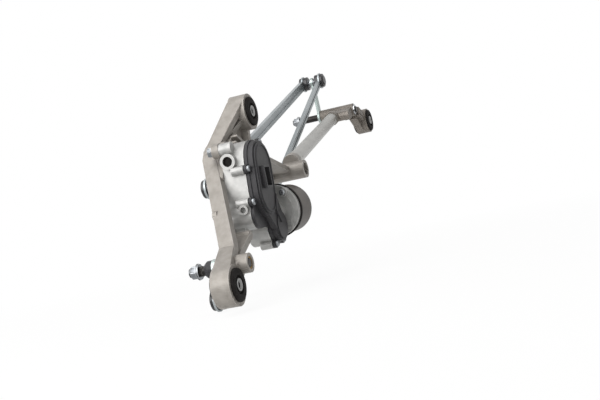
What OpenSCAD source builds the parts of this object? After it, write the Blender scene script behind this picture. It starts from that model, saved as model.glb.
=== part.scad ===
// Wiper linkage: cast frame, reversing gear motor, crank, rods and two wiper shafts.
// X runs from the near fixing to the far one, Y along the shafts to their tips, Z up.
// The origin is the axis of the near fixing, at its lower face.

/* [Fixings] */
// Place of the upper fixing along the linkage
upper_fix_x = 187; // [175:1:200]
// Height of the upper fixing
upper_fix_z = 180; // [170:1:190]
// Lower face of the upper fixing
upper_fix_y = 18; // [15:1:20]
// Place of the far fixing along the linkage
far_fix_x = 698; // [690:1:715]
// Height of the far fixing
far_fix_z = 173; // [168:1:178]
// Lower face of the far fixing
far_fix_y = 6; // [2:1:8]
// Outer diameter of a fixing boss
boss_d = 42; // [40:0.5:46]
// Length of a fixing boss
boss_len = 20; // [18:0.5:22]
// Outer diameter of a grommet flange
grommet_d = 34; // [32:0.5:36]
// Thickness of a grommet flange
grommet_flange = 3; // [2:0.5:4]
// Bore in a fixing boss for the grommet neck
grommet_bore_d = 26; // [24:0.5:28]
// Outer diameter of a fixing sleeve
sleeve_d = 13; // [11:0.5:15]
// Screw bore of a fixing sleeve
sleeve_bore_d = 6.6; // [6.4:0.1:8.4]

/* [Wiper shafts] */
// Place of the near wiper shaft along the linkage
near_x = 23; // [20:0.5:26]
// Height of the near wiper shaft
near_z = 18; // [15:0.5:21]
// Place of the far wiper shaft along the linkage
far_x = 646; // [640:1:652]
// Height of the far wiper shaft
far_z = 191; // [187:1:195]
// Diameter of both wiper shafts
shaft_d = 10; // [9:0.25:11]
// Outer diameter of both shaft housings
housing_d = 20; // [18:0.5:22]
// Lower end of the near shaft housing
near_housing_y0 = -6; // [-10:0.5:-2]
// Upper end of the near shaft housing
near_housing_y1 = 28; // [27:0.5:30]
// Lower end of the far shaft housing
far_housing_y0 = 16; // [12:0.5:20]
// Upper end of the far shaft housing
far_housing_y1 = 70; // [68:0.5:72]
// Wall of the shaft bushes
bush_wall = 1.5; // [1:0.25:2]
// Length of each shaft bush
bush_len = 12; // [10:0.5:14]
// Shaft length above the near lever
near_tip_len = 28; // [26:0.5:32]
// Shaft length above the far lever
far_tip_len = 44; // [40:0.5:48]

/* [Linkage] */
// Length of the far lever and of the crank arm that drives it
lever_len = 56; // [52:0.5:58]
// Lean of the far lever away from upright
lever_lean = 5; // [0:0.5:8]
// Length of the near lever and of the crank arm that drives it
near_lever_len = 38; // [35:0.5:40]
// Direction of the near lever below the length axis
near_lever_drop = 60; // [56:1:64]
// Thickness of the levers and the crank
lever_t = 4; // [3:0.25:5]
// Width of a lever at its ball stud
lever_w = 15; // [13:0.5:17]
// Diameter of the ball studs
ball_d = 14; // [13:0.25:15]
// Height of a ball centre over its lever
ball_reach = 8.5; // [8:0.25:10]
// Outer diameter of the ball sockets
socket_d = 21; // [20:0.5:23]
// Width of the drive rod
drive_rod_w = 13.5; // [12:0.5:15]
// Width of the second rod and the near rod
slim_rod_w = 9; // [8:0.5:10]
// Sheet thickness of the rods
rod_sheet = 1.6; // [1.2:0.1:2]
// Depth of the rod channels
rod_depth = 6; // [5:0.5:7]
// Place along the linkage of the bend in the second rod
rod_bend_x = 330; // [310:1:350]
// Height of the bend in the second rod
rod_bend_z = 95; // [88:1:100]

/* [Frame tube] */
// Outer diameter of the frame tube
tube_d = 18; // [16:0.5:19]
// Wall of the frame tube
tube_wall = 1.5; // [1.2:0.1:2]
// Length of each casting spigot inside the tube
spigot_len = 34; // [28:1:40]
// Place of the centre boss along the linkage
centre_x = 268; // [260:1:276]
// Height of the centre boss
centre_z = 105; // [100:1:110]

/* [Motor] */
// Place of the output shaft along the linkage
motor_x = 150; // [147:0.5:153]
// Height of the output shaft
motor_z = 46; // [44:0.5:48]
// Distance from the worm to the output shaft
worm_offset = 16; // [15:0.5:17]
// Place of the worm across the housing
worm_y = 12; // [11:0.5:13]
// Diameter of the motor can
can_d = 56; // [52:0.5:57]
// Length of the motor can
can_len = 54; // [50:1:62]
// Flange face of the gear housing
flange_x = 178; // [177:0.5:182]
// Joint between the gear housing and its cover
cover_y = 9; // [8:0.25:10]
// Depth of the gear cover
cover_depth = 12; // [10:0.5:14]
// Upper face of the gear housing
housing_y = 34; // [33:0.25:35]
// Wall of the gear housing and its cover
housing_wall = 3; // [2.5:0.25:3.5]
// Diameter of the output shaft
output_d = 10; // [9:0.5:12]
// Teeth of the worm wheel
wheel_teeth = 42; // [36:1:48]

/* [Fits] */
// Radial running clearance of the shafts
run_gap = 0.05; // [0.02:0.01:0.08]
// Radial clearance of seated pieces
seat_gap = 0.1; // [0.05:0.01:0.15]
// Clearance between a ball and its socket
ball_gap = 0.3; // [0.25:0.01:0.4]
// Axial clearance of turning pieces
end_gap = 0.4; // [0.3:0.05:0.6]

/* [Hidden] */
$fn = 48;

// Places in the plan, as X and Z
near_fix = [0, 0];
upper_fix = [upper_fix_x, upper_fix_z];
far_fix = [far_fix_x, far_fix_z];
near_pivot = [near_x, near_z];
far_pivot = [far_x, far_z];
motor = [motor_x, motor_z];
centre = [centre_x, centre_z];
lever_arm = lever_len * [-sin(lever_lean), cos(lever_lean)];
near_arm = near_lever_len * [cos(near_lever_drop), -sin(near_lever_drop)];
far_ball = far_pivot + lever_arm;
crank_ball = motor + lever_arm;
near_ball = near_pivot + near_arm;
crank_near_ball = motor + near_arm;
rod_bend = [rod_bend_x, rod_bend_z];
strip_bend = [124, 138];

// Heights along the shafts
grommet_len = boss_len + 2 * grommet_flange;
far_boss_y = far_fix_y + grommet_flange;
upper_boss_y = upper_fix_y + grommet_flange;
upper_top_y = upper_boss_y + boss_len;
near_lever_y = near_housing_y1 + 2 * end_gap;
far_lever_y = far_housing_y1 + 2 * end_gap;
crank_y = 58;
hub_top_y = crank_y - 2 * end_gap;
collar_t = 1.5;
face_gap = 0.05;
stud_d = 8;
far_top_ball_y = far_lever_y + lever_t + ball_reach;
far_low_ball_y = far_lever_y - ball_reach;
crank_top_ball_y = crank_y + lever_t + ball_reach;
crank_low_ball_y = crank_y - ball_reach;
near_ball_y = near_lever_y + lever_t + ball_reach;
near_tip_y = near_lever_y + lever_t + near_tip_len;
far_tip_y = far_lever_y + lever_t + far_tip_len;

// Casting
strip_t = 8;
rail_t = 7;
web_t = 5;
centre_d = 22;
centre_y0 = -5;
plate_t = 5;
plate_y = housing_y;
centre_y1 = plate_y + plate_t + 1;
tube_r = tube_d / 2;
spigot_d = tube_d - 2 * tube_wall - 2 * seat_gap;
tube_dir_from = [centre_x, 12, centre_z + 10];
tube_dir_to = [far_x - 34, 44, far_z - 8];
tube_span = norm(tube_dir_to - tube_dir_from);
tube_start = 14;
tube_end = tube_span - 10;

// Motor
worm_z = motor_z + worm_offset;
worm_d = 11;
wheel_d = 2 * worm_offset - worm_d + 1.6;
wheel_t = 9;
wheel_y = worm_y - wheel_t / 2;
drum_d = wheel_d + 16;
oval_low = [124, 84];
oval_high = [128, 116];
oval_w = 56;
oval_mid = (oval_low + oval_high) / 2;
pillar_reach = oval_w / 2 + 3;
can_wall = 1.5;
can_ear_r = can_d / 2 - 3;
can_ears = [for (lean = [-40, 40]) [worm_y + can_ear_r * sin(lean), worm_z + can_ear_r * cos(lean)]];
flange_t = 6;
motor_shaft_d = 6;
mount_holes = [
    off(oval_high, pillar_reach + 1.6, 137.5), off(oval_high, pillar_reach + 1.7, 23.4), [101, worm_z - 10]
];
mount_screw_d = 6;
pillar_d = 10;
cover_screw_d = 4;
pillar_len = 14;
pillars = [
    off(oval_high, pillar_reach, 187), off(oval_high, pillar_reach + 1, 49),
    off(oval_mid, pillar_reach + 1, -4),
    off(oval_low, pillar_reach + 1, 193), off(motor, drum_d / 2 + 2, -48), off(motor, drum_d / 2 + 2, -118)
];
cover_outer_y = cover_y - cover_depth;
cover_socket = [121, 101];

// A point at a distance and heading from another
function off(base, reach, heading) = base + reach * [cos(heading), sin(heading)];

// Parts placed in the plan: X and Z outlines raised along Y
module plan(y0, y1) {
    translate([0, y1, 0]) rotate([90, 0, 0]) linear_extrude(y1 - y0) children();
}

function arc(centre, r, start, turn) =
    [for (step = [0 : 12]) centre + r * [cos(start + turn * step / 12), sin(start + turn * step / 12)]];

// A bar with round ends
module bar(from, to, width) {
    run = to - from;
    heading = atan2(run[1], run[0]);
    polygon(concat(arc(to, width / 2, heading - 90, 180), arc(from, width / 2, heading + 90, 180)));
}

module pin(place, y0, y1, d) {
    translate([place[0], y0, place[1]]) rotate([-90, 0, 0]) cylinder(d = d, h = y1 - y0);
}

module hex_pin(place, y0, y1, flats) {
    translate([place[0], y0, place[1]]) rotate([-90, 0, 0])
        cylinder(d = flats / cos(30), h = y1 - y0, $fn = 6);
}

// A turned piece about a shaft: the outline gives radius and height along Y
module turned(place) {
    translate([place[0], 0, place[1]]) rotate([-90, 0, 0]) rotate_extrude() children();
}

module tube_ring(place, y0, y1, outer, inner) {
    difference() {
        pin(place, y0, y1, outer);
        pin(place, y0 - 1, y1 + 1, inner);
    }
}

// Turns local Z to run from one point to another
module along(from, to) {
    run = to - from;
    translate(from) rotate([0, acos(run[2] / norm(run)), atan2(run[1], run[0])]) children();
}

// Frame
module strip_side() {
    polygon([
        [3, -21], [20, -21], [22.5, 20], [26, 36], [61, 132], [61, 146], [upper_top_y + 2, 190],
        [upper_top_y, 202], [upper_top_y - boss_len, 202], [upper_top_y - boss_len, 178],
        [45, 143], [45, 132], [9, 35]
    ]);
}

module strip_plan() {
    bar(near_fix, strip_bend, strip_t);
    bar(strip_bend, upper_fix, strip_t);
    translate(strip_bend) circle(d = strip_t + 1);
}

module boss_body(place, y0) {
    pin(place, y0, y0 + boss_len, boss_d);
}

module main_casting() {
    boss_y = grommet_flange;
    rail_knee = [80, 43];
    web_foot = [178, 134];
    color("#8f8a84") difference() {
        union() {
            intersection() {
                plan(0, 70) strip_plan();
                translate([-40, 0, 0]) rotate([90, 0, 90]) linear_extrude(300) strip_side();
            }
            boss_body(near_fix, boss_y);
            boss_body(upper_fix, upper_boss_y);
            pin(near_pivot, near_housing_y0, near_housing_y1, housing_d);
            plan(boss_y, boss_y + boss_len) bar(near_fix, near_pivot, housing_d - 2);
            // Inner rail of the lower arm, with cross ribs to the strip
            plan(9, near_housing_y1 - 2) bar(near_pivot, rail_knee, rail_t);
            pin(rail_knee, 10, plate_y + 1, rail_t + 4);
            plan(plate_y, plate_y + plate_t) {
                bar(rail_knee, mount_holes[2], 14);
                bar(rail_knee, [62, 70], 10);
            }
            plan(12, 20) bar([34, 37], [46, 28], web_t);
            // Motor plate and the arm to the centre boss
            plan(plate_y, plate_y + plate_t) {
                bar(strip_bend, mount_holes[1], 20);
                bar(mount_holes[1], centre, centre_d - 4);
            }
            plan(plate_y, 50) bar([98, 109], strip_bend, strip_t - 2);
            plan(plate_y, plate_y + plate_t) bar(strip_bend, mount_holes[0], 14);
            plan(12, plate_y + plate_t) bar([182, 124], centre, 6);
            pin(centre, centre_y0, centre_y1, centre_d);
            // Web between the strip and the upper boss, with its ribs
            plan(plate_y + 0.5, plate_y + plate_t - 0.5)
                polygon([strip_bend, upper_fix, web_foot, mount_holes[1]]);
            plan(upper_boss_y + 5, plate_y + plate_t - 1) bar(upper_fix, web_foot, web_t);
            plan(plate_y - 6, plate_y + 1) {
                bar([140, 146], [164, 136], 3);
                bar([147, 153], [169, 143], 3);
            }
            plan(plate_y + 1, plate_y + plate_t + 2) bar(web_foot, mount_holes[1], web_t + 3);
            for (hole = mount_holes) pin(hole, plate_y, plate_y + plate_t + 3, 16);
            along(tube_dir_from, tube_dir_to) {
                cylinder(d = tube_d + 3, h = tube_start - seat_gap);
                cylinder(d = spigot_d, h = tube_start + spigot_len);
            }
        }
        pin(near_fix, 0, grommet_len, grommet_bore_d);
        pin(upper_fix, upper_fix_y, upper_fix_y + grommet_len, grommet_bore_d);
        pin(upper_fix, upper_top_y, upper_top_y + boss_len, grommet_d + 2);
        pin(near_pivot, near_housing_y0 - 1, near_housing_y1 + 1, shaft_d + 2 * bush_wall + 2 * seat_gap);
        pin(centre, centre_y0 - 1, centre_y0 + 20, centre_d - 7);
        for (hole = mount_holes) pin(hole, plate_y - 1, plate_y + 40, mount_screw_d + 0.6);
    }
}

module far_bracket() {
    arm_y = far_housing_y0 + 2;
    color("#95908a") difference() {
        union() {
            pin(far_pivot, far_housing_y0, far_housing_y1, housing_d);
            pin(far_fix, far_boss_y, far_boss_y + boss_len, boss_d - 4);
            plan(far_boss_y + 2, far_boss_y + boss_len) bar(far_fix, far_pivot, 14);
            plan(arm_y - 8, arm_y + 22) bar(far_pivot, (far_pivot + far_fix) / 2, 6);
            plan(arm_y, arm_y + 26) bar(far_pivot, [tube_dir_to[0] + 6, tube_dir_to[2]], 14);
            along(tube_dir_to, tube_dir_from) {
                translate([0, 0, -4]) cylinder(d = tube_d + 3, h = 14 - seat_gap);
                cylinder(d = spigot_d, h = 10 + spigot_len);
            }
        }
        pin(far_fix, far_boss_y - 1, far_boss_y + boss_len + 1, grommet_bore_d);
        pin(far_pivot, far_boss_y, far_housing_y0, housing_d + 2);
        pin(far_pivot, far_housing_y0 - 1, far_housing_y1 + 1, shaft_d + 2 * bush_wall + 2 * seat_gap);
    }
}

module frame_tube() {
    crimp_depth = 0.8;
    color("#c9c8c4") along(tube_dir_from, tube_dir_to) difference() {
        translate([0, 0, tube_start]) cylinder(d = tube_d, h = tube_end - tube_start);
        translate([0, 0, tube_start - 1]) cylinder(d = tube_d - 2 * tube_wall, h = tube_end - tube_start + 2);
        for (z = [tube_start + 18, tube_end - 18], turn = [0 : 90 : 270])
            rotate(turn) translate([tube_r + 3 - crimp_depth, 0, z]) sphere(r = 3);
    }
}

module grommet(place, y0) {
    flange_r = grommet_d / 2;
    neck_r = grommet_bore_d / 2 - seat_gap;
    bore_r = sleeve_d / 2 + seat_gap;
    lip = 1;
    top = y0 + grommet_len;
    color("#1c1c1d") turned(place) polygon([
        [bore_r, y0], [flange_r - lip, y0], [flange_r, y0 + lip], [flange_r, y0 + grommet_flange],
        [neck_r, y0 + grommet_flange], [neck_r, top - grommet_flange],
        [flange_r, top - grommet_flange], [flange_r, top - lip], [flange_r - lip, top], [bore_r, top]
    ]);
}

module sleeve(place, y0) {
    color("#a9abad") tube_ring(place, y0, y0 + grommet_len, sleeve_d, sleeve_bore_d);
}

module near_grommet() { grommet(near_fix, 0); }
module upper_grommet() { grommet(upper_fix, upper_fix_y); }
module far_grommet() { grommet(far_fix, far_fix_y); }
module near_sleeve() { sleeve(near_fix, 0); }
module upper_sleeve() { sleeve(upper_fix, upper_fix_y); }
module far_sleeve() { sleeve(far_fix, far_fix_y); }

module bush_pair(place, y0, y1) {
    outer = shaft_d + 2 * bush_wall;
    inner = shaft_d + 2 * run_gap;
    color("#a98a52") {
        tube_ring(place, y0, y0 + bush_len, outer, inner);
        tube_ring(place, y1 - bush_len, y1, outer, inner);
    }
}

module near_bushes() { bush_pair(near_pivot, near_housing_y0 + 1, near_housing_y1); }
module far_bushes() { bush_pair(far_pivot, far_housing_y0 + 1, far_housing_y1); }

// Gear motor
module motor_outline() {
    bar(oval_low, oval_high, oval_w);
    translate(motor) circle(d = drum_d);
    bar([104, worm_z], [flange_x - 14, worm_z], 29);
}

module inner_outline() {
    bar(oval_low, oval_high, oval_w - 2 * housing_wall);
    translate(motor) circle(d = drum_d - 2 * housing_wall);
}

module gear_housing() {
    hub_d = output_d + 14;
    port_d = 17;
    port = [oval_high[0] - oval_w / 2 - 6, housing_y - 9, oval_high[1] + 8];
    end_boss_d = 10.5;
    end_boss = [86, cover_y + 1 + end_boss_d / 2, worm_z + 8];
    color("#b7b8b8") difference() {
        union() {
            plan(cover_y, housing_y) motor_outline();
            for (place = pillars) pin(place, cover_y, cover_y + pillar_len, pillar_d);
            pin(motor, housing_y - 1, hub_top_y - collar_t - 2 * end_gap, hub_d);
            // Worm tunnel and can flange
            translate([flange_x - 34, worm_y, worm_z]) rotate([0, 90, 0]) cylinder(d = 26, h = 34);
            translate([flange_x - flange_t, worm_y, worm_z]) rotate([0, 90, 0])
                cylinder(d = can_d + 3, h = flange_t);
            for (place = can_ears) translate([flange_x - flange_t - 6, place[0], place[1]])
                rotate([0, 90, 0]) cylinder(d = 10, h = flange_t + 6);
            // Cable port beside the upper oval and an open boss over the worm's end
            side_boss(port, port_d);
            side_boss(end_boss, end_boss_d);
            for (hole = mount_holes) pin(hole, housing_y - 14, housing_y, 14);
        }
        plan(cover_y - 15, housing_y - housing_wall) inner_outline();
        pin(motor, cover_y, hub_top_y, output_d + 2 * bush_wall + 2 * seat_gap);
        worm_room();
        side_hole(port, port_d - 6);
        side_hole(end_boss, end_boss_d - 4);
        translate([flange_x - 2, worm_y, worm_z]) rotate([0, 90, 0])
            cylinder(d = can_d - 2 * can_wall - 1, h = 3);
        for (place = pillars) pin(place, cover_y - 1, cover_y + 12, cover_screw_d + 0.2);
        for (hole = mount_holes) pin(hole, housing_y - 12, housing_y + 1, mount_screw_d + 0.2);
        for (place = can_ears) translate([flange_x - flange_t - 7, place[0], place[1]])
            rotate([0, 90, 0]) cylinder(d = cover_screw_d + 0.2, h = flange_t + 8);
    }
}

// A round boss that faces the near end of the linkage, and the hole in it
module side_boss(place, d) {
    translate(place) rotate([0, 90, 0]) cylinder(d = d, h = 14);
}

module side_hole(place, d) {
    translate(place - [1, 0, 0]) rotate([0, 90, 0]) cylinder(d = d, h = 7);
}

// The bore that the worm turns in
module worm_room() {
    translate([100, worm_y, worm_z]) rotate([0, 90, 0]) cylinder(d = worm_d + 3, h = flange_x - 99);
}

// The worm tunnel and the can flange, with a clearance all round
module tunnel_room(gap) {
    translate([flange_x - 34 - gap, worm_y, worm_z]) rotate([0, 90, 0]) cylinder(d = 26 + 2 * gap, h = 36);
    translate([flange_x - flange_t - gap, worm_y, worm_z]) rotate([0, 90, 0])
        cylinder(d = can_d + 3 + 2 * gap, h = flange_t + 2);
}

module gear_cover() {
    outer_y = cover_outer_y;
    seal_t = 1;
    rim_y = cover_y - seal_t;
    socket = cover_socket;
    posts = [oval_mid + [-18, -14], oval_mid + [14, 12]];
    post_y = cover_y - 6.3;
    color("#202123") for (place = posts) pin(place, outer_y + 1, post_y, 5);
    color("#202123") difference() {
        union() {
            plan(rim_y - 3, rim_y) {
                motor_outline();
                for (place = pillars) translate(place) circle(d = pillar_d);
            }
            plan(outer_y + 2, rim_y) {
                bar(oval_low, oval_high, oval_w - 3);
                translate(motor) circle(d = drum_d - 3);
            }
            plan(outer_y, rim_y) {
                bar(oval_low, oval_high, oval_w - 8);
                translate(motor) circle(d = drum_d - 8);
            }
            plan(outer_y - 5, rim_y) translate(socket - [9, 12]) square([18, 24]);
            plan(outer_y - 1.5, rim_y) {
                bar(motor + [-4, 4], motor + [-13, 18], 2.4);
                bar(motor + [-13, 18], motor + [-5, 34], 2.4);
            }
        }
        plan(outer_y + housing_wall, rim_y + 1) {
            bar(oval_low, oval_high, oval_w - 8 - 2 * housing_wall);
            translate(motor) circle(d = drum_d - 8 - 2 * housing_wall);
        }
        plan(outer_y - 6, outer_y + 2) translate(socket - [7, 10]) square([14, 20]);
        tunnel_room(0.3);
        worm_room();
        for (place = pillars) pin(place, outer_y - 6, rim_y + 1, cover_screw_d + 0.4);
        for (place = pillars) pin(place, outer_y - 6, rim_y - 3, 8.4);
    }
}

module cover_seal() {
    color("#111112") difference() {
        plan(cover_y - 1 + face_gap, cover_y - face_gap) difference() {
            bar(oval_low, oval_high, oval_w - 1);
            inner_outline();
        }
        tunnel_room(0.3);
        worm_room();
    }
}

module screw(place, head_y, length, d, head_d) {
    pin(place, head_y, head_y + length, d);
    pin(place, head_y - 2.6, head_y, head_d);
}

module cover_screws() {
    color("#b9bbbd") for (place = pillars) screw(place, cover_y - 4, 13, cover_screw_d, 7.6);
}

module circuit_board() {
    color("#2f5a3c") plan(cover_y - 6, cover_y - 4.4) bar(oval_low + [0, 6], oval_high, oval_w - 18);
}

module contact_pins() {
    blade = 1.2;
    first = [cover_socket[0] - 5.2, cover_outer_y - 3, cover_socket[1] - blade / 2];
    color("#c8a24a") for (step = [-1 : 1]) translate(first + [0, 0, 5 * step]) cube([blade, 5, blade]);
}

module output_bush() {
    color("#a98a52") tube_ring(motor, housing_y - housing_wall, hub_top_y - collar_t - 2 * end_gap,
        output_d + 2 * bush_wall, output_d + 2 * run_gap);
}

module motor_screws() {
    color("#b9bbbd") for (hole = mount_holes) {
        top = plate_y + plate_t + 3;
        pin(hole, top - 18, top, mount_screw_d);
        pin(hole, top, top + 1.5, 13);
        hex_pin(hole, top + 1.5, top + 6, 10);
    }
}

module motor_can() {
    r = can_d / 2;
    nose_r = 9;
    nose = 6;
    color("#6f6862") difference() {
        translate([flange_x + 0.05, worm_y, worm_z]) rotate([0, 90, 0]) rotate_extrude() polygon([
            [r - can_wall, 0], [r, 0], [r, can_len - 6], [r - 6, can_len], [nose_r, can_len],
            [nose_r, can_len + nose], [0, can_len + nose], [0, can_len + nose - can_wall],
            [nose_r - 2, can_len + nose - can_wall], [nose_r - 2, can_len - can_wall],
            [r - 6.6, can_len - can_wall], [r - can_wall, can_len - 6.6]
        ]);
        translate([flange_x + 10, worm_y - 10, worm_z + r - 0.8]) cube([can_len - 24, 20, 4]);
    }
}

module can_screws() {
    head = 3;
    color("#b9bbbd") for (place = can_ears)
        translate([flange_x - flange_t - 6 - head, place[0], place[1]]) rotate([0, 90, 0]) {
            cylinder(d = cover_screw_d, h = flange_t + 6 + head - 0.5);
            cylinder(d = 7, h = head - face_gap);
        }
}

module magnets() {
    outer = can_d / 2 - can_wall - seat_gap;
    color("#3c3c40") for (side = [0, 180]) translate([flange_x + 8, worm_y, worm_z]) rotate([side, 0, 0])
        rotate([0, 90, 0]) rotate(-60) rotate_extrude(angle = 120)
            translate([outer - 5, 0]) square([5, can_len - 22]);
}

module motor_shaft() {
    end_x = flange_x + can_len + 3;
    color("#b4b6b8") translate([0, worm_y, worm_z]) rotate([0, 90, 0]) {
        translate([0, 0, 102]) cylinder(d = motor_shaft_d, h = end_x - 102);
        for (turn = [0 : 9]) translate([0, 0, motor_x - 18 + 3.4 * turn])
            cylinder(d = worm_d - 1.6, h = 2.2);
    }
}

module armature() {
    core_d = can_d - 2 * can_wall - 12;
    color("#7d7f82") translate([flange_x + 12, worm_y, worm_z]) rotate([0, 90, 0]) difference() {
        cylinder(d = core_d, h = can_len - 30);
        translate([0, 0, -1]) cylinder(d = motor_shaft_d + 2 * seat_gap, h = can_len);
        for (turn = [0 : 36 : 324]) rotate(turn) translate([core_d / 2 - 5, -1.2, -1])
            cube([6, 2.4, can_len]);
    }
}

module commutator() {
    color("#b87333") translate([flange_x + 1, worm_y, worm_z]) rotate([0, 90, 0]) difference() {
        cylinder(d = 20, h = 10);
        translate([0, 0, -1]) cylinder(d = motor_shaft_d + 2 * seat_gap, h = 12);
    }
}

// Crank
module output_shaft() {
    color("#b4b6b8") {
        pin(motor, wheel_y - 1, crank_y + lever_t + 8, output_d);
        pin(motor, hub_top_y - collar_t - end_gap, hub_top_y + end_gap, output_d + 8);
    }
}

module worm_wheel() {
    tip_r = wheel_d / 2;
    root_r = tip_r - 1.2;
    pitch = 360 / wheel_teeth;
    flanks = [[0, root_r], [0.3, tip_r], [0.5, tip_r], [0.8, root_r]];
    color("#d8d2c0") difference() {
        plan(wheel_y, wheel_y + wheel_t) translate(motor) polygon([
            for (tooth = [0 : wheel_teeth - 1], corner = flanks)
                corner[1] * [cos((tooth + corner[0]) * pitch), sin((tooth + corner[0]) * pitch)]
        ]);
        pin(motor, wheel_y - 1, wheel_y + wheel_t + 1, output_d + 2 * seat_gap);
    }
}

module lever_plan(arm, hub_d) {
    bar([0, 0], arm, lever_w - 3);
    circle(d = hub_d);
    translate(arm) circle(d = lever_w);
}

module crank() {
    color("#9fa6a4") difference() {
        plan(crank_y, crank_y + lever_t) translate(motor) {
            lever_plan(lever_arm, 26);
            lever_plan(near_arm, 26);
        }
        pin(motor, crank_y - 1, crank_y + lever_t + 1, output_d + 2 * seat_gap);
        for (place = [crank_ball, crank_near_ball])
            pin(place, crank_y - 1, crank_y + lever_t + 1, stud_d + 2 * seat_gap);
    }
}

module hex_nut(place, y0, y1, flats, bore) {
    difference() {
        union() {
            hex_pin(place, y0, y1, flats);
            pin(place, y0, y0 + 1.5, flats + 4);
        }
        pin(place, y0 - 1, y1 + 1, bore);
    }
}

module crank_nut() {
    seat_y = crank_y + lever_t;
    color("#c2c4c6") hex_nut(motor, seat_y + face_gap, seat_y + 7, 14, output_d + 2 * seat_gap);
}

// A ball stud riveted through its lever, with a second ball below it where it is double
module ball_stud(place, lever_y, double) {
    top = lever_y + lever_t;
    collar = 1.2;
    low_end = double ? lever_y - ball_reach : lever_y - collar;
    pin(place, low_end, top + ball_reach, stud_d);
    translate([place[0], top + ball_reach, place[1]]) sphere(d = ball_d);
    pin(place, top + face_gap, top + collar, stud_d + 4);
    pin(place, lever_y - collar, lever_y - face_gap, stud_d + 4);
    if (double) translate([place[0], low_end, place[1]]) sphere(d = ball_d);
}

module crank_ball_studs() {
    color("#cfd1d2") {
        ball_stud(crank_ball, crank_y, true);
        ball_stud(crank_near_ball, crank_y, false);
    }
}

// Wiper shafts
module wiper_shaft(place, y0, tip_y) {
    tip_d = shaft_d - 2;
    r = shaft_d / 2;
    color("#2c2a28") turned(place) polygon([
        [0, y0], [r - 1, y0], [r, y0 + 1], [r, tip_y - 16], [tip_d / 2, tip_y - 10],
        [tip_d / 2, tip_y - 1], [tip_d / 2 - 1, tip_y], [0, tip_y]
    ]);
}

module far_shaft() { wiper_shaft(far_pivot, far_housing_y0 - 4, far_tip_y); }
module near_shaft() { wiper_shaft(near_pivot, near_housing_y0 + 0.5, near_tip_y); }

module shaft_lever(place, arm, lever_y) {
    difference() {
        plan(lever_y, lever_y + lever_t) translate(place) lever_plan(arm, 20);
        pin(place, lever_y - 1, lever_y + lever_t + 1, shaft_d + 2 * seat_gap);
        pin(place + arm, lever_y - 1, lever_y + lever_t + 1, stud_d + 2 * seat_gap);
    }
}

module far_lever() { color("#b9c4bd") shaft_lever(far_pivot, lever_arm, far_lever_y); }
module near_lever() { color("#b9c4bd") shaft_lever(near_pivot, near_arm, near_lever_y); }

module far_ball_stud() { color("#cfd1d2") ball_stud(far_ball, far_lever_y, true); }
module near_ball_stud() { color("#cfd1d2") ball_stud(near_ball, near_lever_y, false); }

module far_ring() {
    color("#b4b6b8") tube_ring(far_pivot, far_housing_y0 - 2, far_housing_y0 - end_gap,
        shaft_d + 6, shaft_d + 2 * seat_gap);
}

module near_cap() {
    y0 = near_lever_y + lever_t + 0.1;
    bore_r = shaft_d / 2 + seat_gap;
    color("#1b1b1c") turned(near_pivot) polygon([
        [bore_r, y0], [9.2, y0], [9.2, y0 + 6], [7, y0 + 9], [bore_r, y0 + 9]
    ]);
}

module tip_washer(place, tip_y) {
    color("#c9cbcc") tube_ring(place, tip_y - 12.2, tip_y - 11, shaft_d + 6, shaft_d + 2 * seat_gap);
}

module tip_nut(place, tip_y) {
    color("#c9cbcc") hex_nut(place, tip_y - 10.9, tip_y - 3, 13, shaft_d + 2 * seat_gap);
}

module far_washer() { tip_washer(far_pivot, far_tip_y); }
module near_washer() { tip_washer(near_pivot, near_tip_y); }
module far_nut() { tip_nut(far_pivot, far_tip_y); }
module near_nut() { tip_nut(near_pivot, near_tip_y); }

// Rods and ball sockets
eye_d = socket_d + 3;
eye_offset = 2;
eye_t = 2.4;

// A moulded cup round a ball: side is 1 where the lever lies below it
module ball_socket(place, ball_y, side) {
    cup_r = socket_d / 2;
    crown_r = cup_r - 3;
    mouth = 4.5;
    shoulder = 8.5;
    crown = 10;
    translate([place[0], ball_y, place[1]]) rotate([-90 * side, 0, 0]) rotate_extrude() difference() {
        polygon([
            [0, -mouth], [cup_r, -mouth], [cup_r, shoulder], [crown_r, shoulder], [crown_r, crown], [0, crown]
        ]);
        circle(d = ball_d + 2 * ball_gap);
        translate([0, -mouth - 1]) square([ball_d / 2 - 0.5, mouth + 1]);
    }
}

// The flat eye of a rod, round the socket
module rod_eye(place, eye_y) {
    pin(place, eye_y, eye_y + eye_t, eye_d);
}

module eye_hole(place, eye_y) {
    pin(place, eye_y - 8, eye_y + eye_t + 8, socket_d + 2 * seat_gap);
}

// The pressed channel of a rod between two points given as X, Y and Z
module rod_channel(from, to, width) {
    run = to - from;
    flat = atan2(run[2], run[0]);
    rise = atan2(run[1], norm([run[0], run[2]]));
    half = width / 2;
    rib = width / 5;
    translate(from) rotate([0, -flat, 0]) rotate([0, 0, rise]) rotate([90, 0, 90])
        linear_extrude(norm(run)) polygon([
            [0, -half], [rod_depth, -half], [rod_depth, -half + rod_sheet], [rod_sheet, -half + rod_sheet],
            [rod_sheet, -rib], [rod_sheet * 2, -rib], [rod_sheet * 2, rib], [rod_sheet, rib],
            [rod_sheet, half - rod_sheet], [rod_depth, half - rod_sheet], [rod_depth, half], [0, half],
            [0, rib - rod_sheet / 2], [rod_sheet * 0.8, rib - rod_sheet / 2],
            [rod_sheet * 0.8, rod_sheet / 2 - rib], [0, rod_sheet / 2 - rib]
        ]);
}

function at(place, y) = [place[0], y, place[1]];

module drive_rod() {
    near_eye = crank_top_ball_y + eye_offset;
    far_eye = far_top_ball_y + eye_offset;
    color("#9aa0a2") difference() {
        union() {
            rod_channel(at(crank_ball, near_eye), at(far_ball, far_eye), drive_rod_w);
            rod_eye(crank_ball, near_eye);
            rod_eye(far_ball, far_eye);
        }
        eye_hole(crank_ball, near_eye);
        eye_hole(far_ball, far_eye);
    }
}

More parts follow.
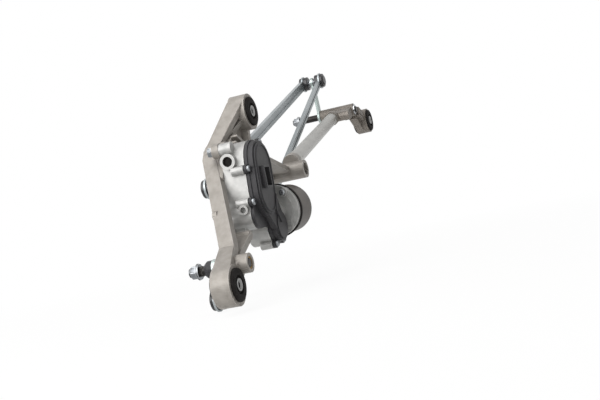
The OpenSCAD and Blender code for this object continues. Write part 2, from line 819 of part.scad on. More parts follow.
module drive_rod_sockets() {
    color("#19191a") {
        ball_socket(crank_ball, crank_top_ball_y, 1);
        ball_socket(far_ball, far_top_ball_y, 1);
    }
}

module second_rod() {
    near_eye = crank_low_ball_y - eye_offset - eye_t;
    far_eye = far_low_ball_y - eye_offset - eye_t;
    bend_y = (near_eye + 2 * far_eye) / 3;
    color("#8f9698") difference() {
        union() {
            rod_channel(at(crank_ball, near_eye), at(rod_bend, bend_y), slim_rod_w);
            rod_channel(at(rod_bend, bend_y), at(far_ball, far_eye), slim_rod_w);
            pin(rod_bend, bend_y - 0.2, bend_y + rod_depth - 0.4, slim_rod_w);
            rod_eye(crank_ball, near_eye);
            rod_eye(far_ball, far_eye);
        }
        eye_hole(crank_ball, near_eye);
        eye_hole(far_ball, far_eye);
    }
}

module second_rod_sockets() {
    color("#19191a") {
        ball_socket(crank_ball, crank_low_ball_y, -1);
        ball_socket(far_ball, far_low_ball_y, -1);
    }
}

module near_rod() {
    near_eye = near_ball_y + eye_offset;
    crank_eye = crank_top_ball_y + eye_offset;
    color("#8f9698") difference() {
        union() {
            rod_channel(at(near_ball, near_eye), at(crank_near_ball, crank_eye), slim_rod_w);
            rod_eye(near_ball, near_eye);
            rod_eye(crank_near_ball, crank_eye);
        }
        eye_hole(near_ball, near_eye);
        eye_hole(crank_near_ball, crank_eye);
    }
}

module near_rod_sockets() {
    color("#19191a") {
        ball_socket(near_ball, near_ball_y, 1);
        ball_socket(crank_near_ball, crank_top_ball_y, 1);
    }
}

main_casting();
far_bracket();
frame_tube();
near_grommet();
upper_grommet();
far_grommet();
near_sleeve();
upper_sleeve();
far_sleeve();
near_bushes();
far_bushes();
gear_housing();
gear_cover();
cover_seal();
cover_screws();
circuit_board();
contact_pins();
output_bush();
motor_screws();
motor_can();
can_screws();
magnets();
motor_shaft();
armature();
commutator();
output_shaft();
worm_wheel();
crank();
crank_nut();
crank_ball_studs();
far_shaft();
far_lever();
far_ball_stud();
far_ring();
far_washer();
far_nut();
near_shaft();
near_lever();
near_ball_stud();
near_cap();
near_washer();
near_nut();
drive_rod();
drive_rod_sockets();
second_rod();
second_rod_sockets();
near_rod();
near_rod_sockets();
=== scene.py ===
"""Wiper linkage: the finishes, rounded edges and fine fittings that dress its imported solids."""

import logging
import math
from collections.abc import Callable
from dataclasses import dataclass
from enum import Enum

import bmesh
import bpy
from mathutils import Matrix, Vector


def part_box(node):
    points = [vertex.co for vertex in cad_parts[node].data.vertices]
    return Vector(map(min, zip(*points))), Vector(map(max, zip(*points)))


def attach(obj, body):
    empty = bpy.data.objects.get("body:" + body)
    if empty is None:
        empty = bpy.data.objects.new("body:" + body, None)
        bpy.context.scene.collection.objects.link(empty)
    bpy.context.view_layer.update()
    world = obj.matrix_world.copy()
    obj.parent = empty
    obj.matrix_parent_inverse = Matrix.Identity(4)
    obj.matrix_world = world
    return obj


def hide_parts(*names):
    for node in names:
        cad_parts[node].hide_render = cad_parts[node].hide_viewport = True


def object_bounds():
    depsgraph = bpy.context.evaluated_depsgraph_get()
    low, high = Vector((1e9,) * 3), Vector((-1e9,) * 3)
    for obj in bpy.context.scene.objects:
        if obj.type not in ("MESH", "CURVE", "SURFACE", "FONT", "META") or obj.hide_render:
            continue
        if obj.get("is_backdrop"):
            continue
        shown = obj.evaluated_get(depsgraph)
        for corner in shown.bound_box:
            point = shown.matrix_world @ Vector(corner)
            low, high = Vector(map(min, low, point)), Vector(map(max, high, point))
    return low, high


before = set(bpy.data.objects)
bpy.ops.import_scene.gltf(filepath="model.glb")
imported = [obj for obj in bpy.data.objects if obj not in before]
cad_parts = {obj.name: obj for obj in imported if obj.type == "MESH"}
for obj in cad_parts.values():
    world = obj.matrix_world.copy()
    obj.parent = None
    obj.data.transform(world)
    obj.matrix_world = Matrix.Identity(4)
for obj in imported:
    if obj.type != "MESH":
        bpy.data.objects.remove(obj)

LOG = logging.getLogger("wiper_linkage")
MM = 0.001
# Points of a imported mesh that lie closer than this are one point
WELD_MM = 0.002
# Neighbouring faces that turn by less than this are one flat face
FLAT_TURN = math.radians(0.6)
# Edges that turn by more are sharp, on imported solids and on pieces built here
PACKED_SHARP = math.radians(28)
BUILT_SHARP = math.radians(32)
ROUND_SEGMENTS = 2
CAP_ROUND_MM = 0.5
SHAFT_AXIS = Vector((0.0, 1.0, 0.0))
CAN_AXIS = Vector((1.0, 0.0, 0.0))
Radius = Callable[[float], float]
Ring = tuple[float, Radius | float]
Point = tuple[float, float]
Place = tuple[float, float, float]

# Noise of the cloudy patches and of the grain, no finer than the picture can hold
MOTTLE_DETAIL = 2.5
GRAIN_DETAIL = 1.5
NOISE_FALL = 0.5
# Noise values at which a patch starts and is full
PATCH_SPAN = (0.35, 0.68)
BUMP_STRENGTH = 0.6
# Rubbed edges: reach, cosine of the normal's turn at no rub and at full rub, share of the rubbed colour
EDGE_WEAR_MM = 1.2
WEAR_SPAN = (0.995, 0.9)
WEAR_SHARE = 0.45
WEAR_SAMPLES = 8


def linear(colour: str) -> tuple[float, float, float, float]:
    """Turns an sRGB hex colour into linear RGBA.

    Args:
        colour: The colour as "#rrggbb".

    Returns:
        Linear red, green, blue and an alpha of 1.
    """
    parts = [int(colour[at:at + 2], 16) / 255 for at in (1, 3, 5)]
    channels = [part / 12.92 if part <= 0.04045 else ((part + 0.055) / 1.055) ** 2.4 for part in parts]
    return (*channels, 1.0)


def add_node(
    tree: bpy.types.NodeTree,
    kind: str,
    inputs: dict[str, object] | None = None,
    links: dict[str | int, bpy.types.NodeSocket] | None = None,
    **settings: object,
) -> bpy.types.Node:
    """Adds one shader node with its settings, input values and incoming links.

    Args:
        tree: The node tree that takes the node.
        kind: Blender's type name of the node.
        inputs: Values for unlinked input sockets, by name.
        links: Source sockets for linked inputs, by name or place.
        **settings: Properties of the node itself.

    Returns:
        The new node.
    """
    made = tree.nodes.new(kind)
    for name, value in settings.items():
        setattr(made, name, value)
    for name, value in (inputs or {}).items():
        made.inputs[name].default_value = value
    for name, source in (links or {}).items():
        tree.links.new(source, made.inputs[name])
    return made


class Grain(Enum):
    """How the fine texture of a finish runs, as a stretch of X, Y and Z."""

    EVEN = (1.0, 1.0, 1.0)
    ALONG_X = (0.03, 1.0, 1.0)
    RINGS_ABOUT_Y = (0.03, 1.0, 0.03)
    RINGS_ABOUT_X = (1.0, 0.03, 0.03)


@dataclass(frozen=True)
class Finish:
    """One real material and how its surface was made.

    Args:
        name: Common name of the material.
        slot: Material slot of the record that it stands for; not used.
        colour: Main colour as sRGB hex.
        shade: Colour of its cloudy patches, darker on metal and paler on black surfaces.
        metallic: 1 for bare metal, 0 for plastic and rubber, between for skins that dull the metal.
        roughness: Middle of its roughness.
        swing: How far the roughness goes either side of the middle.
        mottle_mm: Width of a cloudy patch.
        grain_mm: Width of one grain, drawn coarser on castings, tube and rods, where a true one would be
            finer than a pixel.
        depth_mm: Height of the grain.
        grain: Direction of the texture.
        worn: Colour where edges are rubbed, if they are.
        gloss: Specular level, lower on dusty or open-grained surfaces.
    """

    name: str
    slot: str
    colour: str
    shade: str
    metallic: float
    roughness: float
    swing: float
    mottle_mm: float
    grain_mm: float
    depth_mm: float
    grain: Grain = Grain.EVEN
    worn: str | None = None
    gloss: float = 0.5

    def build(self) -> bpy.types.Material:
        """Makes the node material.

        Returns:
            The material, ready for a mesh slot.
        """
        material = bpy.data.materials.new(self.name)
        material.use_nodes = True
        tree = material.node_tree
        shader = next(item for item in tree.nodes if item.type == "BSDF_PRINCIPLED")
        shader.inputs["Metallic"].default_value = self.metallic
        shader.inputs["Specular IOR Level"].default_value = self.gloss
        place = add_node(tree, "ShaderNodeTexCoord").outputs["Object"]
        run = add_node(
            tree, "ShaderNodeMapping", inputs={"Scale": self.grain.value}, links={"Vector": place}
        )
        mottle = add_node(
            tree, "ShaderNodeTexNoise",
            inputs={"Scale": 1 / (self.mottle_mm * MM), "Detail": MOTTLE_DETAIL, "Roughness": NOISE_FALL},
            links={"Vector": place},
        )
        grain = add_node(
            tree, "ShaderNodeTexNoise",
            inputs={"Scale": 1 / (self.grain_mm * MM), "Detail": GRAIN_DETAIL, "Roughness": NOISE_FALL},
            links={"Vector": run.outputs["Vector"]},
        )
        patches = add_node(
            tree, "ShaderNodeMapRange", inputs={"From Min": PATCH_SPAN[0], "From Max": PATCH_SPAN[1]},
            links={"Value": mottle.outputs["Fac"]},
        )
        paint = add_node(
            tree, "ShaderNodeMix", data_type="RGBA",
            inputs={"A": linear(self.colour), "B": linear(self.shade)},
            links={"Factor": patches.outputs["Result"]},
        )
        tint = paint.outputs["Result"]
        if self.worn:
            flat = add_node(tree, "ShaderNodeNewGeometry").outputs["Normal"]
            rolled = add_node(
                tree, "ShaderNodeBevel", inputs={"Radius": EDGE_WEAR_MM * MM}, samples=WEAR_SAMPLES
            )
            turned = add_node(
                tree, "ShaderNodeVectorMath", operation="DOT_PRODUCT",
                links={0: flat, 1: rolled.outputs["Normal"]},
            )
            rubbed = add_node(
                tree, "ShaderNodeMapRange",
                inputs={"From Min": WEAR_SPAN[0], "From Max": WEAR_SPAN[1], "To Max": WEAR_SHARE},
                links={"Value": turned.outputs["Value"]},
            )
            edge = add_node(
                tree, "ShaderNodeMix", data_type="RGBA", inputs={"B": linear(self.worn)},
                links={"Factor": rubbed.outputs["Result"], "A": tint},
            )
            tint = edge.outputs["Result"]
        tree.links.new(tint, shader.inputs["Base Color"])
        gloss = add_node(
            tree, "ShaderNodeMapRange",
            inputs={"To Min": self.roughness - self.swing, "To Max": self.roughness + self.swing},
            links={"Value": grain.outputs["Fac"]},
        )
        tree.links.new(gloss.outputs["Result"], shader.inputs["Roughness"])
        bump = add_node(
            tree, "ShaderNodeBump",
            inputs={"Strength": BUMP_STRENGTH, "Distance": self.depth_mm * MM},
            links={"Height": grain.outputs["Fac"]},
        )
        tree.links.new(bump.outputs["Normal"], shader.inputs["Normal"])
        return material


# As-cast skin of the frame: satin warm grey with flow clouds, a grain drawn coarser than it is, and edges
# rubbed bright in the tumbler
CAST_ALUMINIUM = Finish(
    "die_cast_aluminium", "cast_aluminium", "#99948e", "#8b8680", 0.25, 0.46, 0.1, 9.0, 3.0, 0.14,
    worn="#b9b5b0", gloss=0.25,
)
# Casting of the far bracket: the frame's own skin, left as it came from the die, with its colour darkened as
# painted shade for the light that falls off towards the far end
SHADED_FAR_CASTING = Finish(
    "shaded_far_die_casting", "cast_aluminium", "#867f78", "#79736c", 0.25, 0.48, 0.1, 9.0, 3.0, 0.1, gloss=0.25
)
# Blasted skin of the gear housing: paler and brighter than the frame, with a grit drawn coarser than it is
BRIGHT_CASTING = Finish(
    "blasted_die_casting", "bright_casting", "#b0afad", "#9f9f9d", 0.4, 0.46, 0.1, 8.0, 2.6, 0.1,
    worn="#c9c9c7", gloss=0.3,
)
# Drawn tube: pale metal with faint lines along its length, drawn coarser than they are
DRAWN_TUBE = Finish(
    "drawn_aluminium", "drawn_aluminium", "#a9a8a4", "#9d9c98", 0.7, 0.4, 0.05, 30.0, 2.4, 0.006,
    grain=Grain.ALONG_X,
)
# Moulded rubber: deep black-grey and dull, with a faint dusty bloom
RUBBER = Finish(
    "moulded_rubber", "rubber", "#1f1d1c", "#292726", 0.0, 0.7, 0.1, 9.0, 0.8, 0.03, gloss=0.08
)
# Bright zinc plate on screws, studs, washers and nuts: light grey with a soft sheen
ZINC_STEEL = Finish(
    "zinc_plated_steel", "zinc_steel", "#8c8f92", "#797c7f", 1.0, 0.36, 0.08, 6.0, 0.6, 0.01, worn="#cfd0d1"
)
# Drawn steel of the fixing sleeves: duller and a little warmer than the plated screws, from oil and handling
SLEEVE_STEEL = Finish(
    "drawn_steel_tube", "zinc_steel", "#8b8b8a", "#757574", 1.0, 0.4, 0.08, 5.0, 0.5, 0.01,
    grain=Grain.RINGS_ABOUT_Y, worn="#b4b4b2",
)
# Sintered bush: brown-gold, matt and open-grained
BRONZE = Finish("sintered_bronze", "sintered_bronze", "#a98a52", "#86693a", 1.0, 0.5, 0.08, 4.0, 0.35, 0.03)
# Glass-filled nylon of the gear cover: black with a fine spark-eroded grain
BLACK_NYLON = Finish(
    "glass_filled_nylon", "black_plastic", "#313032", "#3a393b", 0.0, 0.5, 0.1, 14.0, 0.9, 0.03,
    worn="#3a3b3d", gloss=0.25,
)
# Lacquered laminate of the circuit board: deep green and smooth
LAMINATE = Finish("glass_epoxy_laminate", "board", "#2f5a3c", "#264a31", 0.0, 0.35, 0.05, 5.0, 0.4, 0.01)
# Blades of the connector and bars of the commutator: bright brass-gold
CONTACT = Finish("plated_contact", "contact", "#c8a24a", "#b08c3c", 1.0, 0.28, 0.05, 2.0, 0.2, 0.005)
# Coated can: dark grey-brown satin over drawn steel, with faint draw rings
CAN_STEEL = Finish(
    "coated_can_steel", "can_steel", "#49423b", "#3d3731", 0.55, 0.42, 0.08, 20.0, 0.7, 0.03,
    grain=Grain.RINGS_ABOUT_X, worn="#6f675f", gloss=0.3,
)
# Sintered ferrite magnet: dark, matt and slightly speckled
FERRITE = Finish("sintered_ferrite", "ferrite", "#3c3c40", "#2f2f33", 0.1, 0.6, 0.1, 3.0, 0.4, 0.02)
# Ground shaft: clean bright steel with rings from the wheel
GROUND_STEEL = Finish(
    "ground_steel", "ground_steel", "#b4b6b8", "#9da0a3", 1.0, 0.22, 0.06, 10.0, 0.3, 0.008,
    grain=Grain.RINGS_ABOUT_Y,
)
# Phosphated wiper shaft: brown-black and softly shining, with turning rings
BLACK_STEEL = Finish(
    "phosphated_steel", "black_steel", "#2a2826", "#1f1d1c", 0.7, 0.4, 0.08, 8.0, 0.35, 0.01,
    grain=Grain.RINGS_ABOUT_Y, worn="#56524e",
)
# Moulded worm wheel: cream acetal, waxy and smooth
ACETAL = Finish("moulded_acetal", "wheel_plastic", "#d8d2c0", "#cbc4b0", 0.0, 0.4, 0.05, 6.0, 0.5, 0.01)
# Passivated zinc on the levers: pale grey with a green-blue cast
ZINC_LEVER = Finish(
    "passivated_zinc_steel", "zinc_lever", "#a9b3b0", "#98a4a1", 0.8, 0.38, 0.06, 9.0, 0.7, 0.008,
    worn="#cfd6d3",
)
# Pressed and plated sheet of rods and armature: mid grey with lines along X, drawn coarser than they are
PRESSED_SHEET = Finish(
    "pressed_zinc_sheet", "pressed_steel", "#a2a7a9", "#949a9c", 0.7, 0.4, 0.05, 30.0, 2.4, 0.006,
    grain=Grain.ALONG_X,
)
# Acetal ball socket: black, smooth and slightly greasy
SOCKET_ACETAL = Finish(
    "black_acetal", "black_plastic", "#19191b", "#232325", 0.0, 0.34, 0.07, 6.0, 0.6, 0.012
)


def mark_edges(work: bmesh.types.BMesh, sharp: float) -> None:
    """Smooths a mesh except at its sharp edges.

    Args:
        work: The mesh.
        sharp: Turn in radians from which an edge is sharp.
    """
    for face in work.faces:
        face.smooth = True
    for edge in work.edges:
        edge.smooth = len(edge.link_faces) != 2 or edge.calc_face_angle() < sharp


class Workshop:
    """Makes pieces of the object and gives them their finishes."""

    def __init__(self) -> None:
        """Starts with no material built."""
        self._materials: dict[str, bpy.types.Material] = {}

    def material(self, finish: Finish) -> bpy.types.Material:
        """Gives the material of a finish, built once.

        Args:
            finish: The finish.

        Returns:
            Its material.
        """
        if finish.name not in self._materials:
            self._materials[finish.name] = finish.build()
        return self._materials[finish.name]

    def dress(self, piece: bpy.types.Object, finish: Finish) -> None:
        """Gives a piece one finish.

        Args:
            piece: The mesh object.
            finish: The finish that it takes.
        """
        piece.data.materials.clear()
        piece.data.materials.append(self.material(finish))
        LOG.info("%s: %s", piece.name, finish.name)

    def plain(self, node: str, finish: Finish) -> None:
        """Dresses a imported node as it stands.

        Args:
            node: The node's name.
            finish: The finish that it takes.
        """
        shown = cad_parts[node]
        for place in shown.material_slots:
            place.material = self.material(finish)
        LOG.info("%s: %s", node, finish.name)

    def rounded(self, node: str, body: str, finish: Finish, radius_mm: float) -> None:
        """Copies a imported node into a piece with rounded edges, which stands for it.

        Args:
            node: The node's name.
            body: The body that carries it.
            finish: The finish that it takes.
            radius_mm: Rounding of its edges.
        """
        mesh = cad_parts[node].data.copy()
        if "custom_normal" in mesh.attributes:
            mesh.attributes.remove(mesh.attributes["custom_normal"])
        work = bmesh.new()
        work.from_mesh(mesh)
        bmesh.ops.remove_doubles(work, verts=work.verts, dist=WELD_MM * MM)
        bmesh.ops.dissolve_limit(work, angle_limit=FLAT_TURN, verts=work.verts, edges=work.edges)
        mark_edges(work, PACKED_SHARP)
        work.to_mesh(mesh)
        work.free()
        piece = bpy.data.objects.new(f"{node}_dressed", mesh)
        bpy.context.scene.collection.objects.link(piece)
        self.soften(piece, radius_mm)
        self.dress(piece, finish)
        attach(piece, body)
        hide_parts(node)

    def soften(self, piece: bpy.types.Object, radius_mm: float) -> None:
        """Rounds the sharp edges of a piece.

        Args:
            piece: The mesh object.
            radius_mm: Rounding of its edges.
        """
        edge_round = piece.modifiers.new("edge_round", "BEVEL")
        edge_round.width = radius_mm * MM
        edge_round.segments = ROUND_SEGMENTS
        edge_round.limit_method = "ANGLE"
        edge_round.angle_limit = PACKED_SHARP
        edge_round.use_clamp_overlap = True
        normals = piece.modifiers.new("face_normals", "WEIGHTED_NORMAL")
        normals.keep_sharp = False

    def add(
        self, name: str, work: bmesh.types.BMesh, body: str, finish: Finish, radius_mm: float = 0.0
    ) -> bpy.types.Object:
        """Makes a new piece from a mesh in work and lets it ride.

        Args:
            name: The piece's name.
            work: The mesh, which is freed.
            body: The body that carries it.
            finish: The finish that it takes.
            radius_mm: Rounding of its edges, if they are rounded.

        Returns:
            The new piece.
        """
        mesh = bpy.data.meshes.new(name)
        bmesh.ops.recalc_face_normals(work, faces=work.faces)
        mark_edges(work, BUILT_SHARP)
        work.to_mesh(mesh)
        work.free()
        piece = bpy.data.objects.new(name, mesh)
        bpy.context.scene.collection.objects.link(piece)
        if radius_mm:
            self.soften(piece, radius_mm)
        self.dress(piece, finish)
        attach(piece, body)
        return piece


def skin(work: bmesh.types.BMesh, loops: list[list[Vector]], joined: bool = False) -> None:
    """Adds a closed body that runs through loops of equal counts.

    Args:
        work: The mesh that takes it.
        loops: The sections, each a closed loop of points.
        joined: Joins the last loop to the first, where both ends are else capped.
    """
    made = [[work.verts.new(point) for point in loop] for loop in loops]
    if joined:
        made.append(made[0])
    else:
        work.faces.new(list(reversed(made[0])))
        work.faces.new(made[-1])
    for low, high in zip(made, made[1:]):
        for step in range(len(low)):
            after = (step + 1) % len(low)
            work.faces.new((low[step], low[after], high[after], high[step]))


def prism(work: bmesh.types.BMesh, outline: list[Point], low_mm: float, high_mm: float) -> None:
    """Raises an outline along the shafts.

    Args:
        work: The mesh that takes it.
        outline: Points as X and Z in mm.
        low_mm: Where it starts along Y.
        high_mm: Where it ends along Y.
    """
    skin(work, [[Vector((x, y, z)) * MM for x, z in outline] for y in (low_mm, high_mm)])


def arc_points(middle: Point, radius: float, start: float, end: float, steps: int = 20) -> list[Point]:
    """Gives points along an arc.

    Args:
        middle: Its centre as X and Z.
        radius: Its radius.
        start: Angle in radians at which it starts.
        end: Angle at which it ends.
        steps: Number of chords.

    Returns:
        The points from start to end.
    """
    turns = [start + (end - start) * step / steps for step in range(steps + 1)]
    return [(middle[0] + radius * math.cos(turn), middle[1] + radius * math.sin(turn)) for turn in turns]


def tapered_bar(first: Point, first_r: float, last: Point, last_r: float) -> list[Point]:
    """Gives the outline round two circles and their outer tangents.

    Args:
        first: Centre of the first circle as X and Z.
        first_r: Its radius.
        last: Centre of the last circle.
        last_r: Its radius.

    Returns:
        The outline's points.
    """
    run = Vector(last) - Vector(first)
    heading = math.atan2(run.y, run.x)
    spread = math.acos((first_r - last_r) / run.length)
    near_arc = arc_points(first, first_r, heading + spread, heading + 2 * math.pi - spread)
    return arc_points(last, last_r, heading - spread, heading + spread) + near_arc


def bead(
    work: bmesh.types.BMesh, path: list[Point], level_mm: float, width_mm: float, height_mm: float
) -> None:
    """Adds a raised bead along a closed path on a face that looks along -Y.

    Args:
        work: The mesh that takes it.
        path: Points as X and Z in mm.
        level_mm: The face's place along Y.
        width_mm: Width at the foot.
        height_mm: Height over the face.
    """
    # Depth of the foot in mm, and half widths as shares of the width
    foot, half_foot, half_crest = 0.3, 0.5, 0.28
    loops = []
    for index, point in enumerate(path):
        ahead = Vector(path[(index + 1) % len(path)]) - Vector(path[index - 1])
        out = Vector((ahead.y, -ahead.x)).normalized()
        section = []
        for reach, rise in (
            (-half_foot, -foot), (-half_crest, height_mm), (half_crest, height_mm), (half_foot, -foot)
        ):
            place = Vector(point) + out * reach * width_mm
            section.append(Vector((place.x, level_mm - rise, place.y)) * MM)
        loops.append(section)
    skin(work, loops, joined=True)


def reach_at(radius: Radius | float, turn: float) -> float:
    """Gives the radius of a section at an angle.

    Args:
        radius: The radius of a round section, or the radius by angle of a shaped one.
        turn: The angle in radians.

    Returns:
        The radius there.
    """
    return radius(turn) if callable(radius) else radius


def hex_radius(flats: float, limit: float) -> Radius:
    """Gives a hexagon section whose corners are cut by a cone.

    Args:
        flats: Width across the flats.
        limit: Largest radius that the cone leaves.

    Returns:
        The radius by angle.
    """
    sixth = math.pi / 3
    return lambda turn: min(limit, flats / 2 / math.cos((turn % sixth) - sixth / 2))


def lobe_radius(radius: float, depth: float, lobes: int = 6) -> Radius:
    """Gives a lobed section, as in a screw's drive recess or on a serrated shaft.

    Args:
        radius: Mean radius of the lobes.
        depth: How far the lobes go in and out.
        lobes: How many there are.

    Returns:
        The radius by angle.
    """
    return lambda turn: radius + depth * math.cos(lobes * turn)


def lathe(
    work: bmesh.types.BMesh,
    rings: list[Ring],
    place: Vector,
    axis: Vector,
    steps: int = 48,
    open_bore: bool = False,
) -> None:
    """Adds a closed turned body to a mesh.

    Args:
        work: The mesh that takes it.
        rings: Height along the axis and radius, plain or by angle, from one end to the other.
        place: Point from which the heights count.
        axis: Direction of the axis.
        steps: Points round each ring.
        open_bore: Joins the last ring to the first, as in a washer, where both ends are else capped.
    """
    turn_to = axis.to_track_quat("Z", "Y").to_matrix()
    turns = [2 * math.pi * step / steps for step in range(steps)]
    loops = []
    for height, radius in rings:
        reaches = [(reach_at(radius, turn), turn) for turn in turns]
        local = [
            Vector((reach * math.cos(turn), reach * math.sin(turn), height)) for reach, turn in reaches
        ]
        loops.append([place + turn_to @ point for point in local])
    skin(work, loops, joined=open_bore)


def turned_ring(shop: Workshop, node: str, body: str, finish: Finish, half: list[Point]) -> None:
    """Replaces a plain ring about a shaft axis by a turned or moulded one with two like ends.

    Args:
        shop: Makes and dresses the piece.
        node: The ring's node.
        body: The body that carries it.
        finish: The finish that it takes.
        half: Radius and height in mm of the lower end's profile, from the bore round the outside.
    """
    low, high, middle = node_box(node)
    length = (high.y - low.y) / MM
    profile = half + [(radius, length - height) for radius, height in reversed(half)]
    work = bmesh.new()
    rings: list[Ring] = [(height * MM, radius * MM) for radius, height in profile]
    lathe(work, rings, Vector((middle.x, low.y, middle.z)), SHAFT_AXIS, steps=64, open_bore=True)
    piece = shop.add(f"{node}_dressed", work, body, finish)
    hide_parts(node)


def node_box(node: str) -> tuple[Vector, Vector, Vector]:
    """Measures a node.

    Args:
        node: The node's name.

    Returns:
        Its lowest corner, highest corner and middle.
    """
    low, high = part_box(node)
    return low, high, (low + high) / 2


def solids(node: str) -> list[tuple[Vector, Vector]]:
    """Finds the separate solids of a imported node.

    Args:
        node: The node's name.

    Returns:
        The lowest and highest corner of each solid, by place along X.
    """
    work = bmesh.new()
    work.from_mesh(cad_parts[node].data)
    bmesh.ops.remove_doubles(work, verts=work.verts, dist=WELD_MM * MM)
    left = set(work.verts)
    boxes = []
    while left:
        reached = {left.pop()}
        front = list(reached)
        while front:
            here = front.pop()
            for edge in here.link_edges:
                other = edge.other_vert(here)
                if other not in reached:
                    reached.add(other)
                    front.append(other)
        left -= reached
        points = [vert.co for vert in reached]
        boxes.append(tuple(
            Vector([pick(point[axis] for point in points) for axis in range(3)]) for pick in (min, max)
        ))
    work.free()
    return sorted(boxes, key=lambda box: tuple(box[0]))


@dataclass(frozen=True)
class Blend:
    """A wall that runs the strip's outer face into a boss along the boss's tangent.

    Args:
        name: The piece's name.
        boss: Axis of the boss as X and Z.
        skip: How far from the strip's bend it starts.
        side: 1 where the boss lies ahead of the bend, -1 where it lies behind.
        lows: Lower edge along Y, at the start and at the boss.
        highs: Upper edge along Y, at the start and at the boss.
    """

    name: str
    boss: Point
    skip: float
    side: float
    lows: Point
    highs: Point


@dataclass
class CastFrame:
    """The fixed frame: castings, tube, grommets, sleeves and bushes.

    Sleeve, screw, neck, boss and housing sizes are radii, and places are X and Z in mm.
    """

    shop: Workshop
    body: str = "frame"
    casting_round_mm: float = 0.9
    sleeve_mm: float = 6.5
    screw_mm: float = 3.3
    chamfer_mm: float = 1.4
    neck_mm: float = 12.9
    lip_mm: float = 3.0
    groove_mm: float = 2.4
    edge_mm: float = 0.4
    boss_mm: float = 21.0
    far_boss_mm: float = 19.0
    housing_mm: float = 10.0
    strip_mm: float = 8.0
    strip_bend: Point = (124.0, 138.0)
    blends: tuple[Blend, ...] = (
        Blend("upper_boss_blend", (187.0, 180.0), 0.0, 1.0, (45.0, 21.0), (61.0, 42.0)),
        Blend("near_boss_blend", (0.0, 0.0), 138.0, -1.0, (10.0, 3.0), (26.5, 23.0)),
    )
    blend_steps: int = 6
    far_pivot: Point = (646.0, 191.0)
    far_fix: Point = (698.0, 173.0)
    far_arm_mm: float = 6.0
    web_lap_mm: float = 1.0
    web_proud_mm: float = 1.4
    web_shy_mm: float = 0.1
    web_corner: Point = (8.0, 14.0)
    web_end_mm: float = 15.0
    web_y: Point = (17.0, 28.6)
    fixings: tuple[str, ...] = ("near", "upper", "far")

    def build(self) -> None:
        """Rounds the castings and dresses the small pieces."""
        self.shop.rounded("main_casting", self.body, CAST_ALUMINIUM, self.casting_round_mm)
        # The far bracket takes the frame's casting darkened by painted shade
        self.shop.rounded("far_bracket", self.body, SHADED_FAR_CASTING, self.casting_round_mm)
        for blend in self.blends:
            self.boss_blend(blend)
        self.far_webs()
        self.shop.plain("frame_tube", DRAWN_TUBE)
        for fixing in self.fixings:
            self.grommet(f"{fixing}_grommet")
            self.sleeve(f"{fixing}_sleeve")
        for node in ("near_bushes", "far_bushes"):
            self.shop.plain(node, BRONZE)

    def boss_blend(self, blend: Blend) -> None:
        """Builds one wall between the strip and a boss, as thick as the strip.

        Args:
            blend: Where it runs.
        """
        bend, boss = Vector(self.strip_bend), Vector(blend.boss)
        run = (boss - bend).normalized()
        out = Vector((-run.y, run.x)) * blend.side
        heart = bend + run * blend.skip
        start = heart + out * self.strip_mm / 2
        reach = boss - start
        turn = math.atan2(reach.y, reach.x) + blend.side * math.asin(self.boss_mm / reach.length)
        length = math.sqrt(reach.length ** 2 - self.boss_mm ** 2)
        touch = start + length * Vector((math.cos(turn), math.sin(turn)))
        within = heart - out * self.strip_mm / 2
        foot = touch + (boss - touch).normalized() * self.strip_mm
        loops = []
        for station in range(self.blend_steps + 1):
            share = station / self.blend_steps
            low = blend.lows[0] + (blend.lows[1] - blend.lows[0]) * share
            high = blend.highs[0] + (blend.highs[1] - blend.highs[0]) * share
            outer, inner = start.lerp(touch, share), within.lerp(foot, share)
            corners = ((outer, low), (outer, high), (inner, high), (inner, low))
            loops.append([Vector((point.x, y, point.y)) * MM for point, y in corners])
        work = bmesh.new()
        skin(work, loops)
        self.shop.add(blend.name, work, self.body, CAST_ALUMINIUM, self.casting_round_mm)

    def far_webs(self) -> None:
        """Fills both sides of the far arm out to the tangents of its housing and boss."""
        run = Vector(self.far_fix) - Vector(self.far_pivot)
        length = run.length
        ahead = run.normalized()
        lean = math.asin((self.far_boss_mm - self.housing_mm) / length)
        start, boss = self.housing_mm - self.web_lap_mm, self.far_boss_mm
        local = [
            (start, self.far_arm_mm), (start, self.housing_mm / math.cos(lean) + self.web_proud_mm),
            (length - boss * math.sin(lean), boss * math.cos(lean) - self.web_shy_mm),
            (length - self.web_corner[0], self.web_corner[1]), (length - self.web_end_mm, self.far_arm_mm),
        ]
        work = bmesh.new()
        for side in (-1.0, 1.0):
            across = Vector((-ahead.y, ahead.x)) * side
            points = [Vector(self.far_pivot) + ahead * along + across * wide for along, wide in local]
            prism(work, [(point.x, point.y) for point in points], *self.web_y)
        # The webs take the far bracket's casting, darkened by painted shade
        self.shop.add("far_arm_webs", work, self.body, SHADED_FAR_CASTING, self.casting_round_mm)

    def grommet(self, node: str) -> None:
        """Moulds a grommet with soft lips and a groove round its sleeve.

        Args:
            node: The grommet's node.
        """
        low, high, _ = node_box(node)
        rim = (high.z - low.z) / 2 / MM
        # From the sleeve over the lip to the neck
        turned_ring(self.shop, node, self.body, RUBBER, [
            (self.sleeve_mm + 0.1, self.groove_mm), (self.sleeve_mm + 2.4, self.groove_mm),
            (self.sleeve_mm + 3.0, 0.5), (self.sleeve_mm + 3.6, 0.0), (rim - 1.8, 0.0), (rim - 0.6, 0.4),
            (rim, 1.3), (rim, self.lip_mm - self.edge_mm), (rim - self.edge_mm, self.lip_mm),
            (self.neck_mm, self.lip_mm),
        ])

    def sleeve(self, node: str) -> None:
        """Turns a sleeve with a wide chamfer at both mouths.

        Args:
            node: The sleeve's node.
        """
        turned_ring(self.shop, node, self.body, SLEEVE_STEEL, [
            (self.screw_mm, self.chamfer_mm), (self.screw_mm + self.chamfer_mm, 0.0),
            (self.sleeve_mm - self.edge_mm, 0.0), (self.sleeve_mm, self.edge_mm),
        ])


